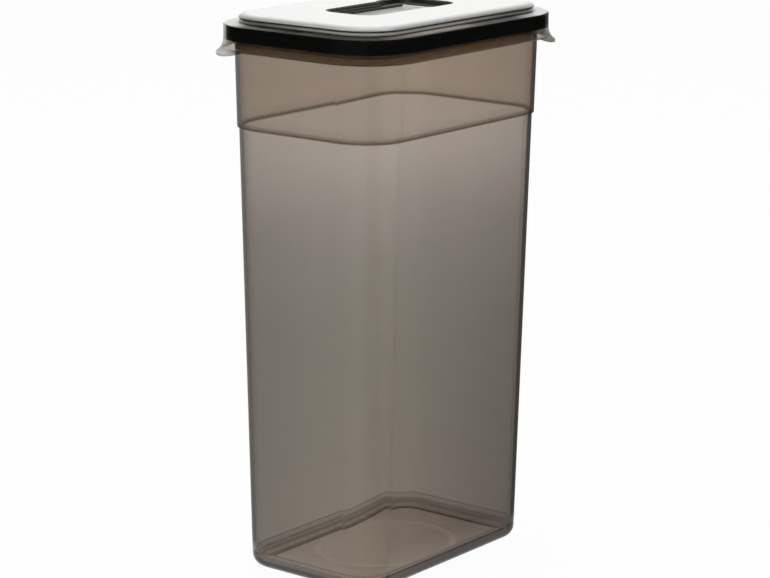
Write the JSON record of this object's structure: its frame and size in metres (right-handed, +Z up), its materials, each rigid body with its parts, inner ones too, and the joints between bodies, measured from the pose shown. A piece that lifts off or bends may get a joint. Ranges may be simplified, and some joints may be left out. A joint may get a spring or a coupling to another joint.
{
  "type": "cereal container with flip spout",
  "caption": "Tall tapered see-through food keeper with a push-fit lid, rim seal, white cover plate and a flip-up pour flap in a stepped well.",
  "frame": {"origin": "middle of the container's base, on the surface it stands on", "axes": "+Z up, X across the narrow way, +Y along the long way towards the flap's hinge"},
  "size_m": [0.1164, 0.1682, 0.2939],
  "materials": {
    "smoky_clear": "clear smoky brown-grey moulded plastic, glossy",
    "black_seal": "black silicone, satin",
    "milky_clear": "thin translucent flexible plastic",
    "smoky_tray": "dark smoky moulded plastic, glossy",
    "white_gloss": "white gloss",
    "grey_seal": "dark grey silicone",
    "light_grey": "light grey gloss",
    "pin_steel": "plain round pin"
  },
  "bodies": {
    "container": {"container": "smoky_clear"},
    "lid": {"lid_frame": "milky_clear", "rim_seal": "black_seal", "spout_base": "smoky_tray", "cover_plate": "white_gloss", "spout_seal": "grey_seal", "hinge_pin": "pin_steel"},
    "flap": {"spout_flap": "light_grey"}
  },
  "joints": [
    {"name": "lid_lift", "type": "slide", "parent": "container", "child": "lid", "axis": [0, 0, 1], "range_m": [0, 0.06]},
    {"name": "flap_hinge", "type": "hinge", "parent": "lid", "child": "flap", "pos_m": [0, 0.02935, 0.289], "axis": [-1, 0, 0], "range_deg": [0, 120]}
  ]
}
